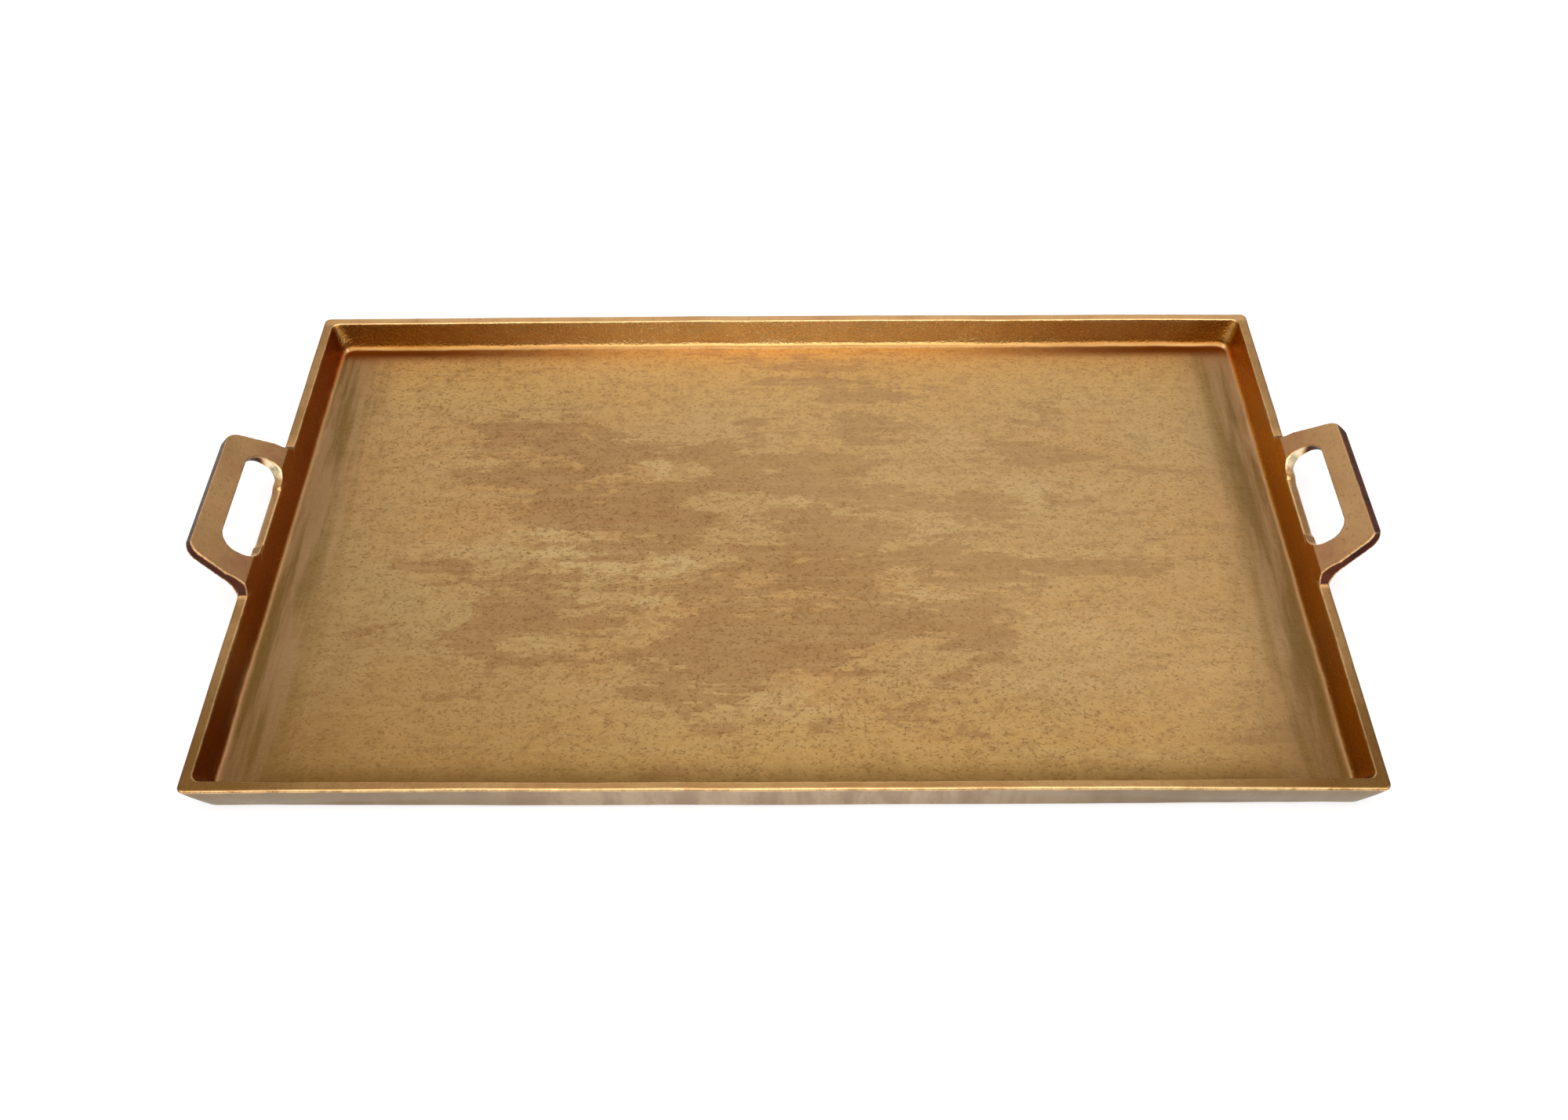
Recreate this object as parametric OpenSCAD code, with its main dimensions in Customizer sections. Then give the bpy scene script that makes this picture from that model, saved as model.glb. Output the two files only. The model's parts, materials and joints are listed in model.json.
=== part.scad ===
// Cast brass serving tray: a shallow flared pan with a loop handle brazed on each short side.
// Millimetres. +X runs along the long side, +Y to the back, +Z up.
// The origin is on the resting plane, below the middle of the tray.

/* [Pan] */
// Length over the rim, along X
rim_length = 610; // [480:5:660]
// Depth over the rim, along Y
rim_depth = 385; // [300:5:420]
// Height of the pan casting, from its underside to the rim
pan_height = 19.5; // [17:0.5:26]
// Thickness of the floor
floor_thickness = 2.8; // [2:0.1:4]
// Width of the flat rim
rim_width = 6; // [5:0.5:8]
// Slope of the inner wall, in degrees from upright
inner_flare = 19; // [12:1:26]
// How far the underside is set in from the rim on each side
bottom_inset = 4; // [3:0.5:7]
// Radius of the fillet between wall and floor
floor_fillet = 4.5; // [3:0.5:6]

/* [Corners and edges] */
// Plan radius of the rim's outer corners
rim_corner_radius = 3.5; // [3:0.5:8]
// Rounding of the rim's outer top edge
rim_edge_radius = 1.25; // [1:0.25:2.5]
// Plan radius of the underside's corners
bottom_corner_radius = 12; // [8:0.5:14]
// Rounding of the underside's edge
bottom_edge_radius = 3; // [2:0.5:4]
// Plan radius of the dish's upright corners at the rim
dish_corner_radius = 5; // [4:0.5:10]
// Plan radius of the dish's corners at the floor
dish_floor_radius = 9; // [7:0.5:12]
// Size of the eased edge between rim and inner wall
lip_ease = 0.8; // [0.4:0.1:1.2]

/* [Handles] */
// Upward tilt of both handles, in degrees
handle_tilt = 40.5; // [30:0.5:45]
// Plate thickness of the handles
handle_thickness = 6; // [5:0.5:8]
// Height of the handle's top face above the rim, at the rim's outer edge
root_rise = 8; // [7:0.5:10]
// Horizontal reach of the handle's outline past the rim
handle_reach = 23.5; // [22:0.5:28]
// Width of the grip bar at its underside, along the slope
grip_width = 15.5; // [12:0.5:17]
// Distance from the handle's middle to its front side, where it leaves the rim
root_front = 56; // [50:0.5:60]
// Distance from the handle's middle to its back side, where it leaves the rim
root_back = 59.5; // [50:0.5:62]
// Length of the handle's outer edge
grip_length = 100; // [90:1:102]
// Length of the finger slot
slot_length = 77; // [68:1:80]
// Width of the finger slot at the handle's top face, along the slope
slot_width = 25.5; // [24:0.5:27]
// Width of the finger slot at the handle's underside, along the slope
slot_under_width = 20; // [18:0.5:22]
// Corner radius of the finger slot at the top face
slot_radius = 12; // [8:0.5:12]
// Corner radius of the finger slot at the underside
slot_under_radius = 9.5; // [6:0.5:9.5]
// Offset of the finger slot towards the back, within each handle
slot_shift = 3; // [0:0.5:4]
// Radius of the handle's outer corner at the front
front_radius = 10; // [5:0.5:12]
// Radius of the handle's outer corner at the back
back_radius = 11; // [8:0.5:16]
// How far the left grip's outer face leans in from its underside to its top
left_lean = 0.5; // [0.5:0.5:3]
// How far the right grip's outer face leans in from its underside to its top
right_lean = 2; // [0.5:0.5:3]
// Height of the square land left below that lean
grip_land = 0.5; // [0.3:0.1:1]
// Radius of the fillet in the corner between an arm and the rim
root_fillet = 5; // [4:0.5:9]
// Radius of the ramp that brings an arm's side down onto the rim
root_ramp = 9.5; // [8:0.5:16]
// How far each ramp cuts into the end of an arm's root
ramp_bite = 2.5; // [1:0.5:4]
// Outward fall of the rim where it is dressed down for the fingers, in degrees
finger_fall = 22; // [12:1:28]
// Length of the dressed-down stretch of rim
finger_length = 60; // [50:1:66]
// Radius that ends the dressed-down stretch at each arm
finger_radius = 10; // [6:0.5:12]
// Distance from the rim's inner edge to the start of the dressed-down slope
finger_ledge = 2; // [1.5:0.25:3]
// Offset of the left handle towards the back, as cast
left_shift = 1; // [-8:0.5:8]
// Offset of the right handle towards the back, as cast
right_shift = 6.5; // [-8:0.5:8]

/* [Braze] */
// Leg of the braze fillet under an arm, measured outward
braze_reach = 7; // [5:0.5:9]
// Leg of the braze fillet down the pan's outer wall
braze_drop = 8; // [6:0.5:10]
// Hollow of the braze fillet's face, as a radius
braze_hollow = 60; // [40:1:90]
// How far the braze stops short of each side of an arm
braze_setback = 1.5; // [1:0.25:3]

/* [Rest pads] */
// Diameter of a pad
pad_diameter = 24; // [16:1:30]
// Thickness of a pad
pad_height = 2; // [1.5:0.5:3]
// Distance from the rim's outer edge to a pad's centre
pad_inset = 48; // [36:1:70]

/* [Hidden] */
cast_brass = "#b58a4c";
handle_brass = "#bd8f55";
braze_tint = "#b87a55";
felt_brown = "#3a2a1e";
round_fn = 32;
bore_fn = 64;
rim_top = pad_height + pan_height;
floor_top = pad_height + floor_thickness;
half_length = rim_length / 2;
half_depth = rim_depth / 2;
far = 60;
root_inset = 1;
ledge_lap = 3;
finger_dip = 0.3;
// Horizontal run of the inner wall's plane from the rim down to the fillet's centre
fillet_run = tan(inner_flare) * (rim_top - floor_top - floor_fillet) + floor_fillet / cos(inner_flare);
// Distance from the rim's outer edge in to the fillet's widest point
dish_floor_inset = rim_width + fillet_run - floor_fillet;
// Distances measured along the handle's slope from the rim's outer edge
slope_out = handle_reach / cos(handle_tilt);
slope_in = -far / 2;
slot_out = slope_out - grip_width;
// Distance from the slot's middle to the start of the radius that ends the dressed-down stretch
finger_flat = finger_length / 2 - finger_radius;
// Height of the handle's underside above the rim's top, at the rim's outer edge
under_rise = root_rise - handle_thickness / cos(handle_tilt);
// Ends of the braze fillet's hollow face, outward and up from the rim's outer edge
braze_top = [braze_reach, under_rise + braze_reach * tan(handle_tilt)];
braze_foot = [-bottom_inset * braze_drop / pan_height, -braze_drop];
// Inner end of the braze, in the gap between the arm and the rim's rounded edge
braze_in = -0.4 * rim_edge_radius;
braze_chord = norm(braze_top - braze_foot);
braze_lean = atan2(braze_top.y - braze_foot.y, braze_top.x - braze_foot.x);
// How much wider the hollow is cut, so that the braze has no feather edge
braze_trim = 0.05;

// Distance from the handle's middle to the side of its root, at the front (-1) or the back (1)
function root_half(end) = end < 0 ? root_front : root_back;

// How fast that side draws in along the slope
function arm_taper(end) = (root_half(end) - grip_length / 2) / slope_out;

// Distance from the handle's middle to the foot of the ramp at that end
function ramp_foot(end) = root_half(end) + root_ramp - ramp_bite;

// A disc with one rounded edge, standing on z = 0 with that edge down
module eased_disc(radius, edge, height) {
    rotate_extrude($fn = round_fn) {
        square([radius - edge, height]);
        translate([0, edge])
            square([radius, height - edge]);
        translate([radius - edge, edge])
            intersection() {
                circle(r = edge, $fn = round_fn);
                translate([0, -edge])
                    square(edge);
            }
    }
}

// Children repeated at the four corners of a rectangle inset from the rim's outline
module at_corners(inset) {
    for (side = [-1, 1], end = [-1, 1])
        translate([side * (half_length - inset), end * (half_depth - inset), 0])
            children();
}

// The pan's outer form, rim edge and underside edge rounded
module pan_form() {
    hull() {
        translate([0, 0, pad_height])
            at_corners(bottom_inset + bottom_corner_radius)
                eased_disc(bottom_corner_radius, bottom_edge_radius, bottom_edge_radius + 1);
        translate([0, 0, rim_top])
            at_corners(rim_corner_radius)
                mirror([0, 0, 1])
                    eased_disc(rim_corner_radius, rim_edge_radius, rim_edge_radius + 1);
    }
}

// The dish: flared walls that turn into the floor through a fillet
module dish_form() {
    hull() {
        translate([0, 0, floor_top])
            at_corners(dish_floor_inset + dish_floor_radius)
                eased_disc(dish_floor_radius, floor_fillet, floor_fillet);
        translate([0, 0, rim_top])
            at_corners(rim_width + dish_corner_radius)
                cylinder(r1 = dish_corner_radius, r2 = dish_corner_radius + tan(inner_flare), h = 1, $fn = round_fn);
    }
}

// The eased edge along the inside of the rim
module lip_form() {
    hull() {
        translate([0, 0, rim_top - lip_ease])
            at_corners(rim_width + dish_corner_radius)
                cylinder(r = dish_corner_radius - tan(inner_flare) * lip_ease, h = lip_ease, $fn = round_fn);
        translate([0, 0, rim_top])
            at_corners(rim_width + dish_corner_radius)
                cylinder(r = dish_corner_radius + lip_ease, h = 1, $fn = round_fn);
    }
}

// A trough along Y that opens upward, its ends rounded, reaching out from x = 0
module finger_trough() {
    reach = rim_width - finger_ledge + 1;
    rise = 2 * finger_radius;
    for (end = [-1, 1])
        translate([0, end * finger_flat, finger_radius])
            rotate([0, 90, 0])
                cylinder(r = finger_radius, h = reach, $fn = bore_fn);
    translate([0, -finger_flat, 0])
        cube([reach, 2 * finger_flat, rise]);
    translate([0, -finger_length / 2, finger_radius])
        cube([reach, finger_length, finger_radius]);
}

// Children just below the right rim's level ledge, opposite the middle of the finger slot
module at_ledge() {
    translate([half_length - rim_width + finger_ledge, slot_shift, rim_top - finger_dip])
        children();
}

// What is dressed off the right rim's outer edge below the finger slot
module finger_relief() {
    at_ledge()
        rotate([0, finger_fall, 0])
            finger_trough();
}

module pan_body() {
    difference() {
        pan_form();
        dish_form();
        lip_form();
        translate([0, right_shift, 0])
            finger_relief();
        mirror([1, 0, 0])
            translate([0, left_shift, 0])
                finger_relief();
    }
}

module tray_pan() {
    color(cast_brass)
        pan_body();
}

// Everything inboard of the right inner wall's plane, carried on upward
module dish_side() {
    translate([half_length - rim_width, 0, rim_top])
        rotate([0, inner_flare, 0])
            translate([-far, -grip_length, -far])
                cube([far, 2 * grip_length, 2 * far]);
}

// Children drawn in the right handle's plane: x up the slope, y along the rim, z square to the plate
module handle_plane() {
    translate([half_length, 0, rim_top + root_rise])
        rotate([0, -handle_tilt, 0])
            children();
}

module outer_corner(end, radius) {
    translate([slope_out - radius, end * (grip_length / 2 - radius)])
        circle(r = radius, $fn = bore_fn);
}

// Arms that draw in to a grip bar with rounded corners
module loop_outline() {
    hull() {
        outer_corner(-1, front_radius);
        outer_corner(1, back_radius);
        for (end = [-1, 1])
            translate([slope_in, end * (root_half(end) - arm_taper(end) * slope_in)])
                square(0.1, center = true);
    }
}

// The handle's outline, its arms filleted into a root strip along the rim
module handle_outline() {
    offset(r = -root_fillet, $fn = bore_fn)
        offset(delta = root_fillet) {
            loop_outline();
            translate([slope_in, -ramp_foot(-1)])
                square([-slope_in - root_inset, ramp_foot(-1) + ramp_foot(1)]);
        }
}

// The finger slot's outline: a rectangle with round corners, its outer side at the grip bar
module slot_outline(width, radius) {
    translate([slot_out - width + radius, slot_shift - slot_length / 2 + radius])
        offset(r = radius, $fn = bore_fn)
            square([width - 2 * radius, slot_length - 2 * radius]);
}

// The finger slot's opening, which narrows towards the underside on the rim's side
module slot_cut() {
    hull() {
        linear_extrude(1)
            slot_outline(slot_width, slot_radius);
        translate([0, 0, -handle_thickness - 1])
            linear_extrude(1)
                slot_outline(slot_under_width, slot_under_radius);
    }
}

// What leans the grip's outer face in towards its top
module lean_cut(lean) {
    translate([slope_out, -grip_length, grip_land - handle_thickness])
        rotate([0, -atan(lean / (handle_thickness - grip_land)), 0])
            cube([far, 2 * grip_length, far]);
}

// The tilted plate of the right handle, before it is cut to seat on the rim
module handle_plate(lean) {
    handle_plane()
        difference() {
            translate([0, 0, -handle_thickness])
                linear_extrude(handle_thickness)
                    handle_outline();
            slot_cut();
            lean_cut(lean);
        }
}

// What is cleared away beside the arms, so that their roots run down onto the rim in a hollow ramp
module root_clearance() {
    for (end = [-1, 1])
        translate([half_length, end * ramp_foot(end), rim_top]) {
            translate([0, 0, root_ramp])
                rotate([0, 90, 0])
                    cylinder(r = root_ramp, h = far, center = true, $fn = bore_fn);
            translate([-far / 2, end > 0 ? 0 : -far, 0])
                cube([far, far, far]);
        }
}

module handle_casting(lean) {
    difference() {
        handle_plate(lean);
        root_clearance();
        finger_relief();
        at_ledge()
            translate([ledge_lap, 0, 0])
                mirror([1, 0, 0])
                    finger_trough();
        pan_form();
        dish_side();
    }
}

module handle_left() {
    color(handle_brass)
        mirror([1, 0, 0])
            translate([0, left_shift, 0])
                handle_casting(left_lean);
}

module handle_right() {
    color(handle_brass)
        translate([0, right_shift, 0])
            handle_casting(right_lean);
}

// Section of the braze fillet, drawn with x outward from the rim's edge and y up from its top
module braze_section() {
    difference() {
        polygon([[braze_in, braze_foot.y / 2], [braze_in, under_rise], braze_top, braze_foot]);
        translate((braze_top + braze_foot) / 2)
            rotate(braze_lean - 90)
                translate([sqrt(pow(braze_hollow, 2) - pow(braze_chord / 2, 2)), 0])
                    circle(r = braze_hollow + braze_trim, $fn = 4 * bore_fn);
    }
}

// Distance from the handle's middle to the braze under one arm: its near side and its far side
function braze_span(end) = [
    slot_length / 2 + end * slot_shift + braze_setback,
    root_half(end) - arm_taper(end) * braze_reach - braze_setback
];

// Braze under both arms of the right handle
module braze_metal() {
    difference() {
        for (end = [-1, 1])
            translate([half_length, end * (braze_span(end)[0] + braze_span(end)[1]) / 2, rim_top])
                rotate([90, 0, 0])
                    linear_extrude(braze_span(end)[1] - braze_span(end)[0], center = true)
                        braze_section();
        handle_plate(right_lean);
        pan_body();
    }
}

module braze_left() {
    color(braze_tint)
        mirror([1, 0, 0])
            translate([0, left_shift, 0])
                braze_metal();
}

module braze_right() {
    color(braze_tint)
        translate([0, right_shift, 0])
            braze_metal();
}

module foot_pad(side, end) {
    color(felt_brown)
        translate([side * (half_length - pad_inset), end * (half_depth - pad_inset), 0])
            cylinder(d = pad_diameter, h = pad_height, $fn = bore_fn);
}

module foot_pad_front_left() {
    foot_pad(-1, -1);
}

module foot_pad_front_right() {
    foot_pad(1, -1);
}

module foot_pad_back_left() {
    foot_pad(-1, 1);
}

module foot_pad_back_right() {
    foot_pad(1, 1);
}

tray_pan();
handle_left();
handle_right();
braze_left();
braze_right();
foot_pad_front_left();
foot_pad_front_right();
foot_pad_back_left();
foot_pad_back_right();
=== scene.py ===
"""Looks for the cast brass tray: the pan, two loop handles, their braze and four felt pads."""
import json
import math

import bpy
import numpy as np
from mathutils import Matrix, Vector, noise


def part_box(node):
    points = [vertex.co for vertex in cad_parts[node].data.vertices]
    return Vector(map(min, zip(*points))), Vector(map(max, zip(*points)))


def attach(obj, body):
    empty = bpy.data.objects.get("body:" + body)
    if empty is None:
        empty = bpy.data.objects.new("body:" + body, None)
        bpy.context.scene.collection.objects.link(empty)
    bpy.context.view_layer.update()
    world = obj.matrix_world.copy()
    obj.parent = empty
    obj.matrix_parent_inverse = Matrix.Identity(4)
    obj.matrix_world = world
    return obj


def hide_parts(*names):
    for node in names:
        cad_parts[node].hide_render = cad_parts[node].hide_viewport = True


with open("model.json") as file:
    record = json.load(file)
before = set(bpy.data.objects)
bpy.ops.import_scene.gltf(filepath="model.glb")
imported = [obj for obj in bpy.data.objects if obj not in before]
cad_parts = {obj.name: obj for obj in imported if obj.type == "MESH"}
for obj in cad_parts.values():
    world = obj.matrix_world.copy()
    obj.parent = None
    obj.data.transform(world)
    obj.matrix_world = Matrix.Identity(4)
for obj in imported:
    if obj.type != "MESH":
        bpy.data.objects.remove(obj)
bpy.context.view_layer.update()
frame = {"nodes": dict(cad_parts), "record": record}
scene = bpy.context.scene
MM = 0.001
UP = (0, 0, 1)
SIDES = {"left": -1, "right": 1}

# The frame's own places
PAN_LOW, PAN_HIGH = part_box("tray_pan")
HALF_LENGTH, HALF_DEPTH = PAN_HIGH.x, PAN_HIGH.y
RIM_TOP, PAN_BOTTOM = PAN_HIGH.z, PAN_LOW.z
MOUNTS = {mount["name"]: mount for mount in frame["record"]["mounts"]}
FLOOR_TOP = MOUNTS["serving_floor"]["pos_m"][2]
HANDLE_BOX = {side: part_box("handle_" + side) for side in SIDES}
HANDLE_MIDDLE = {side: (low.y + high.y) / 2 for side, (low, high) in HANDLE_BOX.items()}
ROOT_HALF = (HANDLE_BOX["right"][1].y - HANDLE_BOX["right"][0].y) / 2

# The pan's section, as in the CAD but for its lip, which is rounded here and chamfered there
RIM_WIDTH = 6 * MM
INNER_FLARE = math.radians(19)
BOTTOM_INSET = 4 * MM
FLOOR_FILLET = 4.5 * MM
RIM_EDGE = 1.25 * MM
LIP_EDGE = 0.9 * MM
BOTTOM_EDGE = 3 * MM
RIM_CORNER = 3.5 * MM
BOTTOM_CORNER = 12 * MM
DISH_CORNER = 5 * MM
DISH_FLOOR_CORNER = 9 * MM

# Where the rim is dressed down for the fingers, as in the CAD. The slot's middle lies behind the handle's.
SLOT_SHIFT = 1.25 * MM
FINGER_FALL = math.tan(math.radians(22))
FINGER_FLAT = 20 * MM
FINGER_RADIUS = 10 * MM
FINGER_LEDGE = 2 * MM
FINGER_DIP = 0.3 * MM

# How far the handles tilt up, as in the CAD, and how far the long sides bow out in their middle
HANDLE_TILT = math.radians(40.5)
LONG_SIDE_BOW = 1.2 * MM

# Where the fillet between wall and floor starts, measured in from the rim's outer edge
WALL_RUN = math.tan(INNER_FLARE) * (RIM_TOP - FLOOR_TOP - FLOOR_FILLET)
FLOOR_INSET = RIM_WIDTH + (WALL_RUN + FLOOR_FILLET / math.cos(INNER_FLARE))
DISH_CORNER_INSET = FLOOR_INSET - FLOOR_FILLET + DISH_FLOOR_CORNER

# How finely the pan's mesh is cut
CELLS_LONG = 200
CELLS_DEEP = 168
CORNER_CELLS = 8


# ---------------------------------------------------------------- small helpers

def wave(x, y, z, size, seed):
    """Smooth noise from -1 to 1 with features about size metres across."""
    return noise.noise(Vector((x / size + seed, y / size - 2 * seed, z / size + 3 * seed)))


def blend_steps(low, high, value):
    """0 below low, 1 above high, smooth between; takes numbers or arrays."""
    t = np.clip((value - low) / (high - low), 0, 1)
    return t * t * (3 - 2 * t)


def handle_middle(x):
    """Where the middle of the handle nearest to x lies along Y; takes numbers or arrays."""
    return np.where(x < 0, HANDLE_MIDDLE["left"], HANDLE_MIDDLE["right"])


def new_piece(name, verts, faces, material):
    """A smooth-shaded mesh object in the scene."""
    mesh = bpy.data.meshes.new(name)
    mesh.from_pydata(verts, [], faces)
    mesh.validate()
    mesh.polygons.foreach_set("use_smooth", [True] * len(mesh.polygons))
    mesh.materials.append(material)
    piece = bpy.data.objects.new(name, mesh)
    scene.collection.objects.link(piece)
    return piece


def apply_modifiers(piece):
    """Turns what the modifiers make into the piece's own mesh."""
    graph = bpy.context.evaluated_depsgraph_get()
    mesh = bpy.data.meshes.new_from_object(piece.evaluated_get(graph))
    piece.modifiers.clear()
    piece.data = mesh


# ---------------------------------------------------------------- material graph

class Graph:
    """A thin layer over one material's nodes."""

    def __init__(self, name):
        self.material = bpy.data.materials.new(name)
        self.material.use_nodes = True
        self.tree = self.material.node_tree
        self.shader = self.tree.nodes["Principled BSDF"]
        self.place = self.node("ShaderNodeTexCoord").outputs["Object"]

    def node(self, kind, **values):
        made = self.tree.nodes.new(kind)
        for key, value in values.items():
            setattr(made, key, value)
        return made

    def put(self, socket, value):
        """Links another node's output to a socket, or sets the socket to a plain value."""
        if hasattr(value, "is_output"):
            self.tree.links.new(value, socket)
        else:
            socket.default_value = value

    def stretch(self, scale, shift=(0, 0, 0)):
        """The object's own coordinates, scaled and shifted, to lay a texture along."""
        made = self.node("ShaderNodeMapping")
        self.put(made.inputs["Vector"], self.place)
        made.inputs["Scale"].default_value = scale
        made.inputs["Location"].default_value = shift
        return made.outputs["Vector"]

    def noise(self, scale, detail=4, rough=0.55, vector=None, twist=0):
        made = self.node("ShaderNodeTexNoise")
        self.put(made.inputs["Vector"], vector or self.place)
        made.inputs["Scale"].default_value = scale
        made.inputs["Detail"].default_value = detail
        made.inputs["Roughness"].default_value = rough
        made.inputs["Distortion"].default_value = twist
        return made.outputs["Fac"]

    def remap(self, value, low, high, out_low=0, out_high=1):
        """A smooth step from out_low to out_high as the value goes from low to high."""
        made = self.node("ShaderNodeMapRange", interpolation_type="SMOOTHSTEP")
        self.put(made.inputs["Value"], value)
        made.inputs["From Min"].default_value = low
        made.inputs["From Max"].default_value = high
        made.inputs["To Min"].default_value = out_low
        made.inputs["To Max"].default_value = out_high
        return made.outputs["Result"]

    def math(self, operation, a, b=0):
        made = self.node("ShaderNodeMath", operation=operation)
        self.put(made.inputs[0], a)
        self.put(made.inputs[1], b)
        return made.outputs["Value"]

    def add(self, a, b):
        return self.math("ADD", a, b)

    def times(self, a, b):
        return self.math("MULTIPLY", a, b)

    def mix(self, share, a, b):
        made = self.node("ShaderNodeMix", data_type="RGBA")
        self.put(made.inputs[0], share)
        self.put(made.inputs[6], a)
        self.put(made.inputs[7], b)
        return made.outputs[2]

    def mask(self, name):
        """A mask painted on the mesh, from 0 to 1."""
        return self.node("ShaderNodeAttribute", attribute_name=name).outputs["Fac"]

    def axis(self, which):
        """The object's own X, Y or Z coordinate, for which of 0, 1 or 2."""
        made = self.node("ShaderNodeSeparateXYZ")
        self.put(made.inputs[0], self.place)
        return made.outputs[which]

    def bump(self, height, strength, distance, under=None):
        made = self.node("ShaderNodeBump")
        self.put(made.inputs["Height"], height)
        self.put(made.inputs["Strength"], strength)
        made.inputs["Distance"].default_value = distance
        if under is not None:
            self.put(made.inputs["Normal"], under)
        return made.outputs["Normal"]

    def surface(self, **values):
        names = {"colour": "Base Color", "metal": "Metallic", "rough": "Roughness", "normal": "Normal"}
        for key, value in values.items():
            self.put(self.shader.inputs[names[key]], value)
        return self.material


def srgb(red, green, blue):
    """A colour given in 0 to 255 display values."""
    def linear(c):
        c /= 255
        return c / 12.92 if c <= 0.04045 else ((c + 0.055) / 1.055) ** 2.4
    return (linear(red), linear(green), linear(blue), 1)


# ---------------------------------------------------------------- materials

def ground_layer(g):
    """Khaki brass in soft clouds, more golden towards the front and the back."""
    clouds = g.noise(6, 3, 0.5, g.stretch((1, 1.5, 1)))
    base = g.mix(g.remap(clouds, 0.38, 0.62), srgb(198, 164, 111), srgb(201, 159, 103))
    depth = g.axis(1)
    base = g.mix(g.remap(depth, -0.09, -0.175, 0, 0.55), base, srgb(200, 156, 88))
    return g.mix(g.remap(depth, 0.09, 0.165, 0, 0.85), base, srgb(207, 164, 97))


def blotch_layer(g, base):
    """Ragged brown blotches drawn out along the tray, with pale khaki worn through beside them."""
    middle = g.mask("middle")
    ragged = g.noise(10, 15, 0.72, g.stretch((1, 2.1, 1), (0.31, 0.12, 0)), 0.25)
    drawn = g.noise(34, 8, 0.7, g.stretch((0.3, 2.4, 1), (2, 1, 0)))
    level = g.add(ragged, g.times(g.math("SUBTRACT", drawn, 0.5), 0.42))
    level = g.add(level, g.times(middle, 0.13))
    brown = g.mix(g.noise(18, 6, 0.65, g.stretch((1, 1.8, 1))), srgb(182, 142, 94), srgb(166, 125, 82))
    base = g.mix(g.times(g.remap(level, 0.590, 0.618), 0.8), base, brown)
    bare = g.noise(9, 14, 0.74, g.stretch((1, 2.4, 1), (5.2, 3.1, 0)), 0.3)
    bare = g.times(g.remap(bare, 0.53, 0.57), g.times(middle, 0.6))
    return g.mix(g.times(bare, g.remap(level, 0.56, 0.60, 1, 0.12)), base, srgb(213, 184, 130))


def fine_layer(g, base):
    """Fine streaks, mottling and specks."""
    streak = g.noise(60, 6, 0.65, g.stretch((0.16, 3.4, 1), (1, 5, 0)))
    base = g.mix(g.remap(streak, 0.45, 0.68, 0, 0.24), base, srgb(212, 180, 128))
    mottle = g.noise(120, 8, 0.75, g.stretch((1, 1.5, 1)))
    base = g.mix(g.remap(mottle, 0.46, 0.62, 0, 0.36), base, srgb(150, 108, 64))
    specks = g.noise(520, 4, 0.7, g.stretch((1, 1.3, 1)))
    return g.mix(g.remap(specks, 0.53, 0.63, 0, 0.62), base, srgb(116, 82, 46))


def light_drift_layer(g, base):
    """Painted shade and light: a slow drift from brown at the front left to gold at the back right."""
    drift = g.add(g.axis(0), g.times(g.axis(1), 1.1))
    # Painted shade, brown towards the front left
    base = g.mix(g.remap(drift, -0.12, -0.40, 0, 0.45), base, srgb(150, 112, 62))
    # Painted light, gold towards the back right
    return g.mix(g.remap(drift, -0.06, 0.12, 0, 0.20), base, srgb(228, 192, 136))


def floor_shade_layer(g, base):
    """Painted shade on the floor: duller and combed towards the side walls, darker in the front corners,
    dark along the foot of the back wall.
    """
    # Painted shade at the foot of the side and front walls, its edge wandering
    wander = g.noise(24, 5, 0.6, g.stretch((2.4, 0.5, 1)))
    reach = g.add(g.mask("border"), g.times(g.math("SUBTRACT", wander, 0.5), 0.45))
    base = g.mix(g.remap(reach, 0.15, 1.0, 0, 0.75), base, srgb(116, 84, 36))
    # Painted shade in combed streaks towards the short walls
    combed = g.noise(22, 5, 0.6, g.stretch((4.6, 0.35, 1), (3, 0, 0)))
    combed = g.mix(g.remap(combed, 0.40, 0.60), srgb(128, 100, 56), srgb(188, 152, 114))
    base = g.mix(g.times(g.mask("side_shade_streaks"), 0.5), base, combed)
    # Painted shade in the front corners
    base = g.mix(g.times(g.mask("corner_shade"), 0.5), base, srgb(116, 78, 32))
    # Painted shade, dark red-brown, along the foot of the back wall
    return g.mix(g.mask("back_wall_shade"), base, g.mix(g.noise(70, 4), srgb(124, 66, 10), srgb(102, 50, 4)))


def floor_tone(g):
    """Brushed brass under a worn brown patina, in khaki, gold and reddish brown, with painted light and
    shade over it.
    """
    base = ground_layer(g)
    for layer in (blotch_layer, fine_layer, light_drift_layer, floor_shade_layer):
        base = layer(g, base)
    return base


def wall_reflection_tone(g):
    """Painted reflection and shade on the inner walls: dark red-brown side walls, and a back wall that
    clears to gold in its middle.
    """
    left = g.mix(g.noise(45, 5, 0.6), srgb(192, 112, 4), srgb(170, 88, 2))
    right = g.mix(g.noise(45, 5, 0.6), srgb(214, 142, 6), srgb(194, 116, 3))
    # Painted reflection: the right wall lighter towards the back
    right = g.mix(g.remap(g.axis(1), -0.05, 0.08), right, srgb(240, 156, 5))
    # Painted shade: the left wall darker towards the front
    left = g.mix(g.remap(g.axis(1), -0.06, -0.16, 0, 0.6), left, srgb(122, 50, 3))
    side = g.mix(g.remap(g.axis(0), -0.1, 0.1), left, right)
    back = g.mix(g.noise(60, 5, 0.6), srgb(162, 106, 38), srgb(136, 80, 16))
    gold = g.mix(g.noise(90, 5, 0.6), srgb(240, 196, 128), srgb(224, 174, 104))
    from_middle = g.math("ABSOLUTE", g.axis(0))
    # Painted reflection: the back wall gold in its middle
    back = g.mix(g.remap(from_middle, 0.02, 0.26, 1, 0), back, gold)
    return g.mix(g.mask("long_wall"), side, back)


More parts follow.
